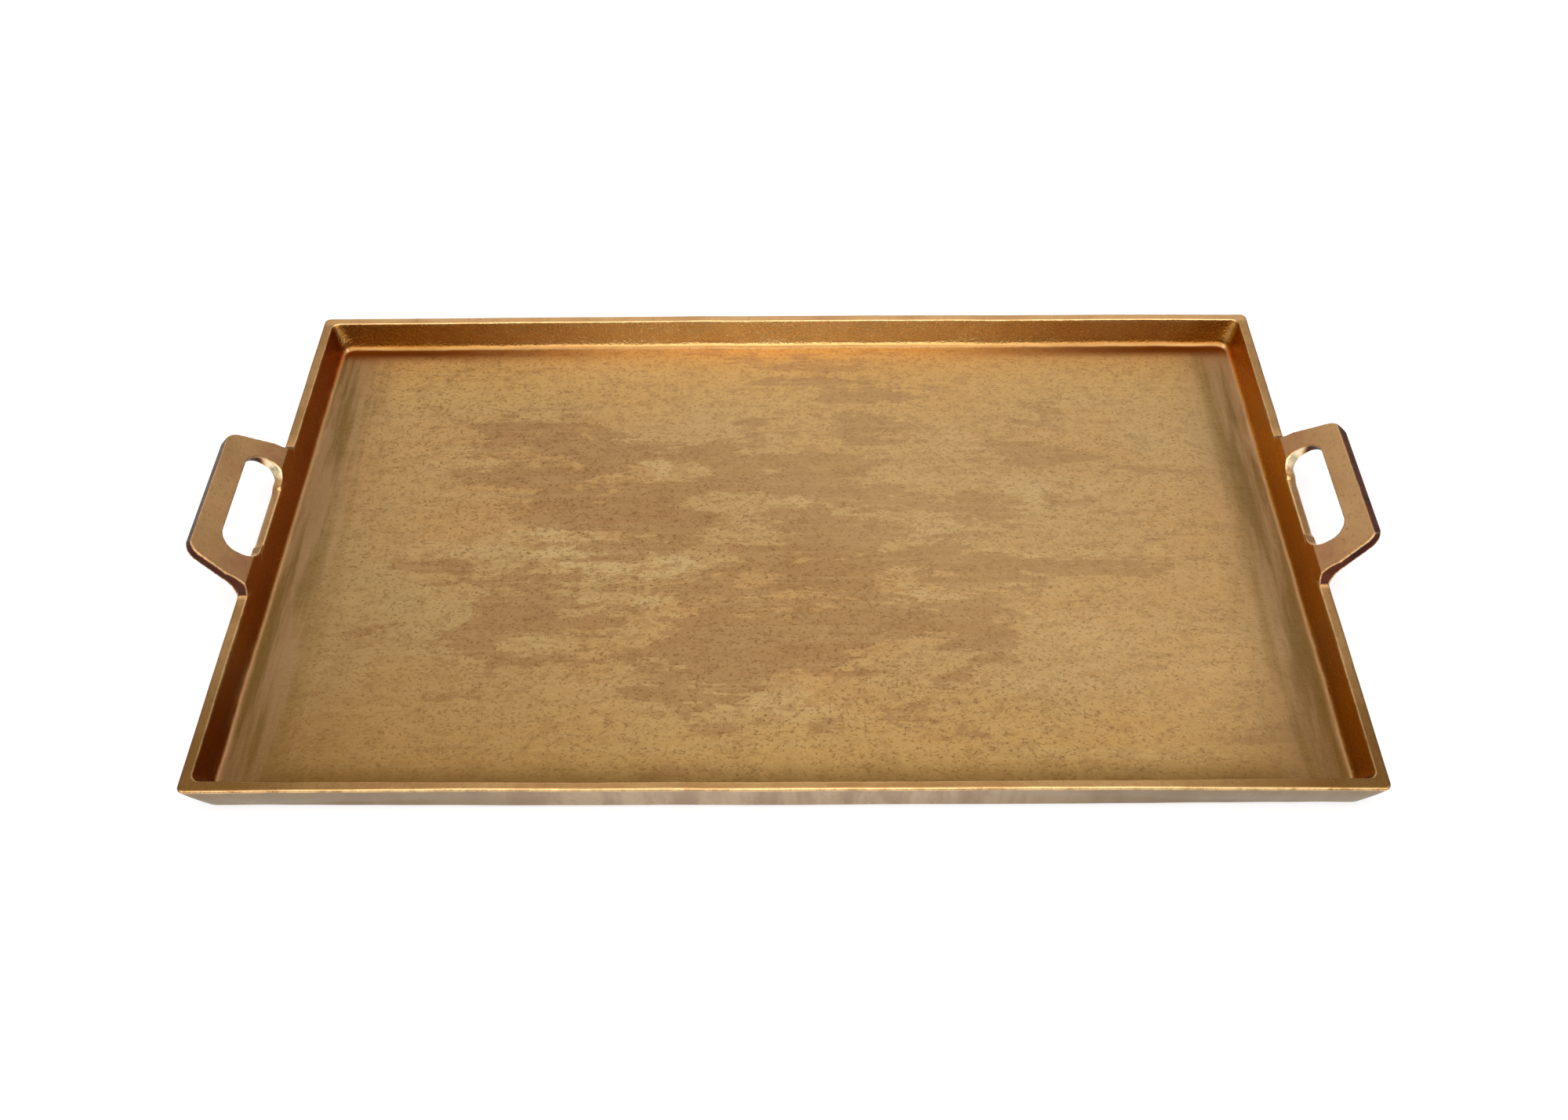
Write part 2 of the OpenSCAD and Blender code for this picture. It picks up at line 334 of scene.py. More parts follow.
def patina_and_shade_tone(g):
    """Faces turned from the top, on the handles and the short sides: a cloudy dark red-brown, patina
    darkened further as painted shade.
    """
    return g.mix(g.remap(g.noise(70, 6, 0.65), 0.35, 0.65), srgb(74, 30, 14), srgb(44, 17, 8))


def face_tone(g):
    """The long outer faces: greyish brass with faint upright stains, darkened towards their ends as
    painted shade.
    """
    stain = g.noise(30, 6, 0.65, g.stretch((2.2, 1, 0.35)))
    grey = g.mix(g.remap(stain, 0.38, 0.62), srgb(176, 152, 122), srgb(150, 124, 96))
    # Painted shade: darker towards the ends of the long faces
    grey = g.mix(g.remap(g.math("ABSOLUTE", g.axis(0)), 0.06, 0.19, 0, 0.8), grey, srgb(128, 106, 76))
    return g.mix(g.remap(g.noise(380, 4, 0.7), 0.55, 0.7, 0, 0.3), grey, srgb(120, 92, 62))


def dressed_tone(g):
    """Filed brass: plain on the rim; brighter on the handles, between their roots, on the back rim and
    along the short sides' fillets, partly from polishing and partly as painted highlight; darker in the
    front corners and along the back fillet as painted shade.
    """
    cloud = g.remap(g.noise(28, 5, 0.6), 0.36, 0.64)
    plain = g.mix(cloud, srgb(194, 152, 99), srgb(178, 134, 84))
    brightened = g.mix(cloud, srgb(240, 190, 131), srgb(226, 174, 118))
    # Brighter brass, partly worn by polishing and partly a painted highlight
    tone = g.mix(g.mask("polish_and_highlight"), plain, brightened)
    # Painted shade in the front corners and along the back fillet
    tone = g.mix(g.times(g.mask("corner_shade"), 0.8), tone, srgb(128, 88, 38))
    return g.mix(g.remap(g.noise(340, 4, 0.7), 0.55, 0.7, 0, 0.35), tone, srgb(140, 98, 60))


def brass_colour(g):
    """The brass's tones laid over each other, each where its mask is painted."""
    colour = g.mix(g.mask("floor"), dressed_tone(g), floor_tone(g))
    # The inner walls carry painted reflection and shade
    colour = g.mix(g.mask("wall"), colour, wall_reflection_tone(g))
    colour = g.mix(g.mask("face"), colour, face_tone(g))
    # Painted shade: faces turned from the top are dark red-brown, patina and shade together
    colour = g.mix(g.mask("flank"), colour, patina_and_shade_tone(g))
    # Copper tint round the handles' roots, and a painted pinkish highlight along the short sides' fillets
    root = g.times(g.mask("root"), g.remap(g.noise(110, 5, 0.6), 0.3, 0.7, 0.35, 1))
    colour = g.mix(root, colour, srgb(208, 138, 104))
    # Worn edges with a painted highlight, strongest on edges facing the front
    edge_wear_and_highlight = g.times(g.mask("edge"), g.remap(g.noise(120, 5, 0.65), 0.35, 0.6, 0.3, 1))
    colour = g.mix(edge_wear_and_highlight, colour, srgb(236, 192, 136))
    # Painted near-white highlight in the hollows at the back of the finger slots
    return g.mix(g.mask("slot_highlight"), colour, srgb(255, 238, 196))


def brass_with_painted_light(name):
    """One brass for the pan and the handles, coloured by the masks painted on each mesh, painted light and
    shade among them.
    """
    g = Graph(name)
    wall = g.mask("wall")
    smooth = g.math("MAXIMUM", wall, g.mask("edge"))
    rough = g.remap(smooth, 0, 1, 0.33, 0.22)
    rough = g.add(rough, g.times(g.mask("floor"), 0.13))
    rough = g.add(rough, g.remap(g.noise(48, 5, 0.6), 0.35, 0.65, 0, 0.08))
    pits = g.bump(g.noise(230, 5, 0.7), 0.30, 0.6 * MM)
    sand = g.bump(g.noise(620, 3, 0.6), g.remap(wall, 0, 1, 0.22, 0.75), 0.6 * MM, pits)
    # The flanks, painted dark as patina and shade, are barely metallic and have little shine of their own
    g.shader.inputs["Specular IOR Level"].default_value = 0.08
    metal = g.remap(g.mask("flank"), 0, 1, 1, 0.04)
    return g.surface(colour=brass_colour(g), metal=metal, rough=rough, normal=sand)


def braze_metal():
    """Copper-coloured braze, dressed smooth."""
    g = Graph("braze_copper")
    tone = g.mix(g.remap(g.noise(160, 4), 0.4, 0.6), srgb(196, 136, 100), srgb(150, 98, 64))
    normal = g.bump(g.noise(420, 3), 0.4, 0.4 * MM)
    rough = g.remap(g.noise(260, 4), 0.3, 0.7, 0.34, 0.46)
    return g.surface(colour=tone, metal=1.0, rough=rough, normal=normal)


def felt():
    """Matt brown felt."""
    g = Graph("brown_felt")
    tone = g.mix(g.noise(900, 6, 0.7), srgb(46, 33, 24), srgb(84, 64, 48))
    normal = g.bump(g.noise(1500, 4, 0.8), 0.8, 0.8 * MM)
    material = g.surface(colour=tone, metal=0.0, rough=0.95, normal=normal)
    g.shader.inputs["Sheen Weight"].default_value = 0.4
    return material


# ---------------------------------------------------------------- painted masks

def vertex_array(mesh, what):
    """One three-part value of every vertex, as an array."""
    values = np.zeros(len(mesh.vertices) * 3)
    mesh.vertices.foreach_get(what, values)
    return values.reshape(-1, 3)


class Skin:
    """A brass piece's vertices: their places, the ways they face and how far in they lie from the rim's
    outer edge. Plate is the way that a handle's plate faces, and None on the pan.
    """

    def __init__(self, mesh, plate):
        self.mesh = mesh
        self.plate = plate
        self.place = vertex_array(mesh, "co")
        self.normal = vertex_array(mesh, "normal")
        self.x, self.y, self.z = self.place.T
        bow = LONG_SIDE_BOW * (1 - (self.x / HALF_LENGTH) ** 2)
        self.inset_x = HALF_LENGTH - abs(self.x)
        self.inset_y = HALF_DEPTH + bow - abs(self.y)
        self.inset = np.minimum(self.inset_x, self.inset_y)
        self.short_side = self.inset_x < self.inset_y


def neighbour_mean(edges, values):
    """Each vertex's mean over its edges of a value given per edge."""
    total = np.zeros(edges.max() + 1)
    count = np.zeros(edges.max() + 1)
    for end in (0, 1):
        np.add.at(total, edges[:, end], values)
        np.add.at(count, edges[:, end], 1)
    return total / np.maximum(count, 1)


def convex_edges(skin):
    """1 on sharp convex edges, 0 on flat and hollow faces, from the mesh's curvature."""
    edges = np.zeros(len(skin.mesh.edges) * 2, int)
    skin.mesh.edges.foreach_get("vertices", edges)
    edges = edges.reshape(-1, 2)
    start, end = edges.T
    along = skin.place[end] - skin.place[start]
    turn = skin.normal[end] - skin.normal[start]
    bend = (turn * along).sum(1) / np.maximum((along ** 2).sum(1), 1e-12)
    curve = neighbour_mean(edges, bend)
    curve = neighbour_mean(edges, (curve[start] + curve[end]) / 2)
    return blend_steps(0.10, 0.42, curve * MM)


def worn_edges_and_highlight(skin):
    """Convex edges worn bright, with a painted highlight added: most where they face the front, and along
    the pan's inner lip.
    """
    front = blend_steps(0.15, 0.65, -skin.normal[:, 1])
    lip = (skin.inset > RIM_WIDTH - 2 * MM) * (skin.plate is None)
    return convex_edges(skin) * np.maximum(0.25 + 0.75 * front, 0.8 * lip)


def copper_roots(x, y):
    """Where the braze has left a copper tint around the handles' roots."""
    root = 0 * x
    for side, sign in SIDES.items():
        for end in (-1, 1):
            middle = HANDLE_MIDDLE[side] + end * 0.72 * ROOT_HALF
            away = np.sqrt((x - sign * (HALF_LENGTH - 1 * MM)) ** 2 + (y - middle) ** 2 * 0.6)
            root = np.maximum(root, 1 - blend_steps(3 * MM, 15 * MM, away))
    return root


def turned_away_shade(skin):
    """How far a face is painted dark as patina and shade, from how far it turns away from the dressed top.
    """
    if skin.plate is None:
        return 1 - blend_steps(0.40, 0.82, skin.normal[:, 2])
    level = skin.normal @ skin.plate
    away = abs(skin.y - handle_middle(skin.x))
    # The grip's outer face is dark right up to the top face
    up_slope = np.array((-skin.plate[2] * np.sign(skin.plate[0]), 0, abs(skin.plate[0])))
    outer = blend_steps(0.1, 0.4, skin.normal @ up_slope) * (abs(skin.x) > HALF_LENGTH + 12 * MM)
    side = 1 - blend_steps(0.30 + 0.55 * outer, 0.60 + 0.37 * outer, level)
    # The ramps beside the arms are dark down to their feet
    ramp = blend_steps(ROOT_HALF - 16 * MM, ROOT_HALF - 11 * MM, away)
    slope = 1 - np.maximum(blend_steps(0.84, 0.96, level), blend_steps(0.93, 0.99, skin.normal[:, 2]))
    # The slot's side towards the rim was dressed with the rim
    dressed = 1 - blend_steps(HALF_LENGTH + 4 * MM, HALF_LENGTH + 8 * MM, abs(skin.x))
    dressed = dressed * (1 - blend_steps(40 * MM, 46 * MM, away))
    return (side + (slope - side) * ramp) * (1 - dressed)


def slot_hollow_highlight(skin):
    """A painted near-white highlight in the hollow at the back of a finger slot, on the rim's side."""
    if skin.plate is None:
        return 0 * skin.x
    along = skin.y - handle_middle(skin.x) - SLOT_SHIFT
    beside_rim = 1 - blend_steps(HALF_LENGTH + 3 * MM, HALF_LENGTH + 7 * MM, abs(skin.x))
    at_back = blend_steps(24 * MM, 29 * MM, along) * (along < 42 * MM)
    return beside_rim * at_back * (1 - blend_steps(0.35, 0.75, skin.normal @ skin.plate))


def within_dish(skin):
    """1 inside the line of the inner wall, 0 outside it."""
    wall_line = skin.inset + math.tan(INNER_FLARE) * (skin.z - RIM_TOP) - RIM_WIDTH
    return blend_steps(-0.8 * MM, 0.2 * MM, wall_line)


def inner_wall(skin, within):
    """1 on the dish's steep walls."""
    across = skin.normal[:, 0] * np.sign(skin.x) * skin.short_side
    along = skin.normal[:, 1] * np.sign(skin.y) * ~skin.short_side
    return blend_steps(0.50, 0.86, -(across + along)) * within * (skin.z > FLOOR_TOP)


def dish_floor(skin, within):
    """1 on the dish's level floor."""
    level = blend_steps(0.86, 0.99, skin.normal[:, 2])
    return level * within * (skin.z < FLOOR_TOP + FLOOR_FILLET) * (skin.z > PAN_BOTTOM + MM)


def polishing_and_highlight(skin, side_fillet):
    """Brightened partly by polishing and partly as a painted highlight: the handles, the rim between their
    roots, the back rim and the fillets along the short sides.
    """
    if skin.plate is not None:
        return 1 + 0 * skin.x
    between_roots = 1 - blend_steps(56 * MM, 78 * MM, abs(skin.y - handle_middle(skin.x)))
    between_roots = between_roots * (skin.inset_x < RIM_WIDTH + MM)
    back_rim = 0.6 * (skin.inset_y < RIM_WIDTH + MM) * (skin.y > 0)
    return np.maximum(np.maximum(between_roots, back_rim), side_fillet)


def corner_shade_mask(skin, fillet):
    """Painted shade: the front corners, and the back fillet, less so towards the right."""
    from_corner = np.hypot(skin.inset_x, skin.y + HALF_DEPTH)
    corner = (1 - blend_steps(20 * MM, 120 * MM, from_corner)) * (1 - fillet * skin.short_side)
    back_share = 0.75 - 0.3 * blend_steps(40 * MM, 110 * MM, skin.x)
    return np.maximum(corner, back_share * fillet * ~skin.short_side * (skin.y > 0))


def patchy_middle(skin):
    """1 in the middle of the floor, where the patina is patchiest, 0 at the corners."""
    away = np.hypot(skin.x / (0.86 * HALF_LENGTH), (skin.y - 10 * MM) / (0.92 * HALF_DEPTH))
    return 1 - blend_steps(0.45, 1.1, away)


def wall_foot_shade(skin):
    """Painted shade: 1 at the foot of the side and front walls, falling off at first steeply and then
    slowly.
    """
    from_front = HALF_DEPTH - FLOOR_INSET + skin.y
    reach = np.minimum(skin.inset_x - FLOOR_INSET, 1.4 * from_front + 6 * MM)
    return 0.62 * (1 - blend_steps(0, 34 * MM, reach)) + 0.38 * (1 - blend_steps(0, 110 * MM, reach))


def back_wall_shade(skin):
    """Painted shade: 1 along the foot of the back wall, 0 in the middle of its length."""
    reach = HALF_DEPTH - FLOOR_INSET - skin.y
    return (1 - blend_steps(2 * MM, 12 * MM, reach)) * blend_steps(50 * MM, 260 * MM, abs(skin.x))


def paint_masks(piece, plate=None):
    """Writes where each vertex lies, for the brass material."""
    skin = Skin(piece.data, plate)
    within = within_dish(skin)
    wall = inner_wall(skin, within)
    floor = dish_floor(skin, within)
    fillet = within * (1 - wall) * (1 - floor) * (skin.z < FLOOR_TOP + FLOOR_FILLET)
    side_fillet = fillet * skin.short_side
    past_lip = blend_steps(0, MM, skin.inset - RIM_WIDTH) * (skin.z > FLOOR_TOP)
    # How far a face turns from the top; on the flanks this is painted dark as patina and shade
    outside = turned_away_shade(skin) * (1 - wall) * (1 - floor) * (1 - past_lip)
    long_face = (abs(skin.normal[:, 1]) > abs(skin.normal[:, 0])) * (plate is None)
    roots = copper_roots(skin.x, skin.y) * (1 - wall) * (1 - 0.8 * outside)
    masks = {
        "wall": wall,
        "long_wall": blend_steps(-2 * MM, 2 * MM, skin.inset_x - skin.inset_y),
        "floor": floor,
        "face": outside * long_face,
        "flank": outside * ~long_face,
        # Worn edges with a painted highlight
        "edge": worn_edges_and_highlight(skin),
        # Copper tint round the roots, and a painted pinkish highlight along the short sides' fillets
        "root": 0.55 * np.maximum(roots, 0.8 * side_fillet),
        # Painted shade in the front corners and along the back fillet
        "corner_shade": corner_shade_mask(skin, fillet),
        # Painted highlight in the finger slots' hollows
        "slot_highlight": slot_hollow_highlight(skin),
        # Painted shade in streaks near the short walls
        "side_shade_streaks": 1 - blend_steps(4 * MM, 46 * MM, skin.inset_x - FLOOR_INSET),
        # Partly polishing, partly painted highlight
        "polish_and_highlight": polishing_and_highlight(skin, side_fillet),
        "middle": patchy_middle(skin),
        # Painted shade at the foot of the side and front walls
        "border": wall_foot_shade(skin),
        # Painted shade along the foot of the back wall
        "back_wall_shade": back_wall_shade(skin) * floor,
    }
    for name, values in masks.items():
        skin.mesh.attributes.new(name, "FLOAT", "POINT").data.foreach_set("value", values)


# ---------------------------------------------------------------- the pan

def ring_place(index, count, cells, half, radius):
    """Where cell line index of count falls along one side, and how far round a corner it is."""
    corner = CORNER_CELLS // 2
    if index < corner:
        return -half + radius, index / corner - 1
    if index > count - corner:
        return half - radius, (index - count + corner) / corner
    return -half + radius + 2 * (half - radius) * (index - corner) / cells, 0


def ring_point(i, j, half_x, half_y, radius):
    """A point of the rounded rectangle that matches border cell (i, j)."""
    across, deep = CELLS_LONG + CORNER_CELLS, CELLS_DEEP + CORNER_CELLS
    if j in (0, deep):
        x, turn = ring_place(i, across, CELLS_LONG, half_x, radius)
        side = -1 if j == 0 else 1
        angle = turn * math.pi / 4
        return x + radius * math.sin(angle), side * (half_y - radius + radius * math.cos(angle))
    y, turn = ring_place(j, deep, CELLS_DEEP, half_y, radius)
    side = -1 if i == 0 else 1
    angle = turn * math.pi / 4
    return side * (half_x - radius + radius * math.cos(angle)), y + radius * math.sin(angle)


def border_cells():
    """The cell corners round the grid's border, anticlockwise from the front left."""
    across, deep = CELLS_LONG + CORNER_CELLS, CELLS_DEEP + CORNER_CELLS
    around = [(i, 0) for i in range(across)]
    around += [(across, j) for j in range(deep)]
    around += [(i, deep) for i in range(across, 0, -1)]
    around += [(0, j) for j in range(deep, 0, -1)]
    return around


def arc(centre, radius, start, stop, steps, zone):
    """Section points of an arc; the angle runs from straight up towards the rim's outer edge."""
    points = []
    for k in range(steps + 1):
        a = start + (stop - start) * k / steps
        points.append((centre[0] - radius * math.sin(a), centre[1] + radius * math.cos(a), zone))
    return points


def run(start, stop, steps, zone):
    """Section points evenly between two others, neither of them included."""
    step_in = (stop[0] - start[0]) / steps
    step_up = (stop[1] - start[1]) / steps
    return [(start[0] + step_in * k, start[1] + step_up * k, zone) for k in range(1, steps)]


def pan_section():
    """The wall's section from the floor, over the rim, to the underside: (inset, height, zone)."""
    quarter = math.pi / 2
    outer_lean = math.atan2(BOTTOM_INSET, RIM_TOP - PAN_BOTTOM)
    from_wall = (60, 50, 42, 35, 28, 22, 17, 13, 10, 7.5, 5.5, 4, 2.5, 1.2)
    floor = [(FLOOR_INSET + extra * MM, FLOOR_TOP, "floor") for extra in from_wall]
    fillet_centre = (FLOOR_INSET, FLOOR_TOP + FLOOR_FILLET)
    fillet = arc(fillet_centre, FLOOR_FILLET, 2 * quarter, quarter + INNER_FLARE, 10, "fillet")
    lip_centre = (RIM_WIDTH - LIP_EDGE * math.tan((quarter - INNER_FLARE) / 2), RIM_TOP - LIP_EDGE)
    lip = arc(lip_centre, LIP_EDGE, INNER_FLARE - quarter, 0, 6, "lip")
    top = [(inset * MM, RIM_TOP, "rim") for inset in (4.6, 4.0, 3.3, 2.6, 1.9)]
    edge = arc((RIM_EDGE, RIM_TOP - RIM_EDGE), RIM_EDGE, 0, quarter + outer_lean, 7, "edge")
    heel_centre = (BOTTOM_INSET + BOTTOM_EDGE, PAN_BOTTOM + BOTTOM_EDGE)
    heel = arc(heel_centre, BOTTOM_EDGE, quarter + outer_lean, 2 * quarter, 7, "outside")
    under = [(heel_centre[0] + extra * MM, PAN_BOTTOM, "under") for extra in (3, 9, 20, 40)]
    inner_wall = run(fillet[-1], lip[0], 9, "wall")
    outer_wall = run(edge[-1], heel[0], 9, "outside")
    return floor + fillet + inner_wall + lip + top + edge + outer_wall + heel + under


def corner_radius(inset, height, zone):
    """Plan radius of the corner at each stage of the section."""
    climb = (height - PAN_BOTTOM) / (RIM_TOP - PAN_BOTTOM)
    if zone == "floor":
        return DISH_FLOOR_CORNER - FLOOR_FILLET
    if zone == "fillet":
        return DISH_CORNER_INSET - inset
    if zone == "wall":
        share = (height - FLOOR_TOP - FLOOR_FILLET) / (RIM_TOP - FLOOR_TOP - FLOOR_FILLET)
        return DISH_FLOOR_CORNER + (DISH_CORNER - DISH_FLOOR_CORNER) * max(share, 0)
    if zone in ("lip", "rim"):
        return DISH_CORNER + (RIM_CORNER - DISH_CORNER) * float(blend_steps(RIM_WIDTH, 0, inset))
    if zone in ("edge", "outside"):
        return BOTTOM_CORNER + (RIM_CORNER - BOTTOM_CORNER) * climb
    return BOTTOM_CORNER - BOTTOM_EDGE - 2 * MM


def finger_drop(reach, along):
    """How far the rim is dressed down, reach past the ledge and along from the slot's middle."""
    over = max(abs(along) - FINGER_FLAT, 0)
    if over >= FINGER_RADIUS:
        return 0
    rise = FINGER_RADIUS - math.sqrt(FINGER_RADIUS ** 2 - over ** 2)
    fall = FINGER_DIP + FINGER_FALL * max(reach, 0) - rise
    return max(fall, 0) * float(blend_steps(-0.6 * MM, 0.6 * MM, reach))


def dress_down(x, y, z, zone):
    """Height of a rim point after the rim is dressed down below the finger slots."""
    if zone not in ("lip", "rim", "edge", "outside") or HALF_LENGTH - abs(x) > 2 * RIM_WIDTH:
        return z
    reach = abs(x) - (HALF_LENGTH - RIM_WIDTH + FINGER_LEDGE)
    drop = finger_drop(reach, y - float(handle_middle(x)) - SLOT_SHIFT)
    return z - drop * float(blend_steps(RIM_TOP - 9 * MM, RIM_TOP - 1.2 * MM, z))


def at_handle(x, y):
    """1 where a handle's roots sit, 0 well away from them."""
    beside = 1 - blend_steps(ROOT_HALF + 4 * MM, ROOT_HALF + 24 * MM, abs(y - handle_middle(x)))
    return float(beside * blend_steps(HALF_LENGTH - 16 * MM, HALF_LENGTH - 9 * MM, abs(x)))


def arm_share(x, y):
    """1 where a handle's arms stand on the rim, 0 between and beyond them."""
    away = abs(y - handle_middle(x))
    between = blend_steps(28 * MM, 34 * MM, away)
    return float(between * (1 - blend_steps(ROOT_HALF - 10 * MM, ROOT_HALF - 5 * MM, away)))


def cast_shift(x, y, z, zone):
    """How far the casting strays from true at a point: lift, then shift away from the middle."""
    lift = 0.35 * MM * wave(x, y, 0, 0.16, 3) + 0.12 * MM * wave(x, y, 0, 0.045, 8)
    out = 0.30 * MM * wave(x, y, z, 0.07, 1) + 0.16 * MM * wave(x, y, z, 0.022, 5)
    if zone in ("floor", "under"):
        return lift * 0.8, 0
    if zone == "fillet":
        out = out * 2.4 + 0.25 * MM * wave(x, y, z, 0.009, 11)
        lift += 0.25 * MM * wave(x, y, z, 0.014, 17)
    if zone in ("wall", "lip"):
        out *= 1.3
    calm = 1 - at_handle(x, y)
    return lift * calm, out * calm


def make_pan(material):
    """The whole pan as one skin: a ring of points for each step of the section, closed by two grids."""
    section = pan_section()
    border = border_cells()
    count = len(border)
    verts, zones, faces = [], [], []
    for inset, height, zone in section:
        radius = corner_radius(inset, height, zone)
        for i, j in border:
            x, y = ring_point(i, j, HALF_LENGTH - inset, HALF_DEPTH - inset, radius)
            verts.append((x, y, height))
            zones.append(zone)
    for ring in range(len(section) - 1):
        for k in range(count):
            a, b = ring * count + k, ring * count + (k + 1) % count
            faces.append((a, a + count, b + count, b))
    close_middle(verts, zones, faces, border, 0, "floor", True)
    close_middle(verts, zones, faces, border, (len(section) - 1) * count, "under", False)
    cast = [cast_point(x, y, z, zone) for (x, y, z), zone in zip(verts, zones)]
    piece = new_piece("pan_shell", cast, faces, material)
    paint_masks(piece)
    return piece


def cast_point(x, y, z, zone):
    """Where a true point of the pan ends up in the casting."""
    lift, out = cast_shift(x, y, z, zone)
    z = dress_down(x, y, z, zone)
    if zone in ("wall", "lip") and HALF_LENGTH - abs(x) < 2 * RIM_WIDTH:
        # Under an arm the top of the wall stands back, so that the handle's root comes flush with it
        high = float(blend_steps(RIM_TOP - 4.5 * MM, RIM_TOP - 1.5 * MM, z))
        out += 0.45 * MM * arm_share(x, y) * high
    out_x = out * float(blend_steps(0.85, 0.98, abs(x) / HALF_LENGTH))
    out_y = out * float(blend_steps(0.80, 0.97, abs(y) / HALF_DEPTH)) + long_side_bow(x, y, zone)
    return x + math.copysign(out_x, x), y + math.copysign(out_y, y), z + lift


def long_side_bow(x, y, zone):
    """The long sides bow out a little, and the front rim's outer edge is dressed back."""
    dressed_back = 1 * MM
    middle = 1 - (x / HALF_LENGTH) ** 2
    bow = LONG_SIDE_BOW * middle * float(blend_steps(0.5, 1, abs(y) / HALF_DEPTH))
    if y < 0 and zone in ("rim", "edge", "outside"):
        bow -= dressed_back * float(blend_steps(HALF_DEPTH - RIM_WIDTH, HALF_DEPTH - RIM_EDGE, -y))
    return bow


def close_middle(verts, zones, faces, border, first, zone, upward):
    """Fills the innermost ring with a grid."""
    across, deep = CELLS_LONG + CORNER_CELLS, CELLS_DEEP + CORNER_CELLS
    place = {cell: first + k for k, cell in enumerate(border)}
    for i in range(1, across):
        for j in range(1, deep):
            x = (verts[place[(i, 0)]][0] + verts[place[(i, deep)]][0]) / 2
            y = (verts[place[(0, j)]][1] + verts[place[(across, j)]][1]) / 2
            place[(i, j)] = len(verts)
            verts.append((x, y, verts[first][2]))
            zones.append(zone)
    for i in range(across):
        for j in range(deep):
            quad = (place[(i, j)], place[(i + 1, j)], place[(i + 1, j + 1)], place[(i, j + 1)])
            faces.append(quad if upward else quad[::-1])


# ---------------------------------------------------------------- handles, braze and pads

def saddle_section(share):
    """Section of the rim as the handle's saddle fills it: (x, height). Share is 1 under an arm.

    It lies a little inside the pan's skin. Under an arm it comes flush with the inner wall, and it
    stands a little above the rim.
    """
    skin = 0.22 * MM
    swell = 0.8 * MM
    inner_skin = skin * (1 - share)
    depth = 9 * MM
    lean = math.tan(INNER_FLARE)
    inner = HALF_LENGTH - RIM_WIDTH
    outer = HALF_LENGTH - skin
    top = RIM_TOP - skin + share * swell
    ease = swell * (1 - share)
    points = [(inner - lean * depth + 0.6 * MM, RIM_TOP - depth)]
    points += [(inner - lean * 4 * MM + inner_skin, RIM_TOP - 4 * MM)]
    points += [(inner - lean * (RIM_TOP - top + ease) + inner_skin, top - ease)]
    points += [(inner + lean * 0.3 * MM + inner_skin + 0.4 * ease, top - 0.15 * ease)]
    points += [(inner + 1.2 * MM + (outer - inner - 2.4 * MM) * k / 6, top) for k in range(7)]
    points += [(outer - 0.45 * MM, top - 0.3 * MM), (outer - 0.1 * MM, top - 1 * MM)]
    points += [(outer - BOTTOM_INSET * depth / (RIM_TOP - PAN_BOTTOM), RIM_TOP - depth)]
    return points


def rim_saddle(side):
    """The stretch of rim that a handle's roots are let into, from beyond one root to beyond the other."""
    stations = 140
    half = ROOT_HALF + 6 * MM
    sign = SIDES[side]
    verts, faces = [], []
    for s in range(stations + 1):
        y = HANDLE_MIDDLE[side] - half + 2 * half * s / stations
        section = saddle_section(arm_share(sign, y))
        verts += [(sign * x, y, dress_down(sign * x, y, z, "rim")) for x, z in section]
    count = len(section)
    for s in range(stations):
        for k in range(count):
            a, b = s * count + k, s * count + (k + 1) % count
            faces.append((a, b, b + count, a + count) if side == "left" else (a, a + count, b + count, b))
    first = tuple(range(count))
    last = tuple(range(stations * count + count - 1, stations * count - 1, -1))
    faces += [first, last] if side == "right" else [first[::-1], last[::-1]]
    return verts, faces


def cast_copy(name, node, voxel, rounds, material, extra=None):
    """A dense copy of a CAD node with its edges softened, as a casting dressed with a file."""
    source = frame["nodes"][node].data
    verts = [tuple(v.co) for v in source.vertices]
    faces = [tuple(p.vertices) for p in source.polygons]
    if extra is not None:
        faces += [tuple(i + len(verts) for i in face) for face in extra[1]]
        verts += extra[0]
    piece = new_piece(name, verts, faces, material)
    remesh = piece.modifiers.new("remesh", "REMESH")
    remesh.mode = "VOXEL"
    remesh.voxel_size = voxel
    smooth = piece.modifiers.new("smooth", "SMOOTH")
    smooth.factor = 0.5
    smooth.iterations = rounds
    apply_modifiers(piece)
    piece.data.polygons.foreach_set("use_smooth", [True] * len(piece.data.polygons))
    return piece


def make_loop(side, material):
    """One loop handle, run together with the stretch of rim that it stands on."""
    piece = cast_copy("loop_" + side, "handle_" + side, 0.5 * MM, 4, material, rim_saddle(side))
    plate = np.array((-SIDES[side] * math.sin(HANDLE_TILT), 0, math.cos(HANDLE_TILT)))
    paint_masks(piece, plate)
    return piece


def pad_outline(radius, height):
    """The felt disc's outline from its lower face round to its upper one: (radius, height)."""
    soft = 0.6 * MM
    rings = [3 * MM, 6 * MM, 9 * MM]
    turns = [k * math.pi / 8 for k in range(5)]
    outline = [(r, 0) for r in rings]
    outline += [(radius - soft + soft * math.sin(a), soft - soft * math.cos(a)) for a in turns]
    outline += [(radius, height / 2)]
    outline += [(radius - soft + soft * math.cos(a), height - soft + soft * math.sin(a)) for a in turns]
    return outline + [(r, height) for r in reversed(rings)]


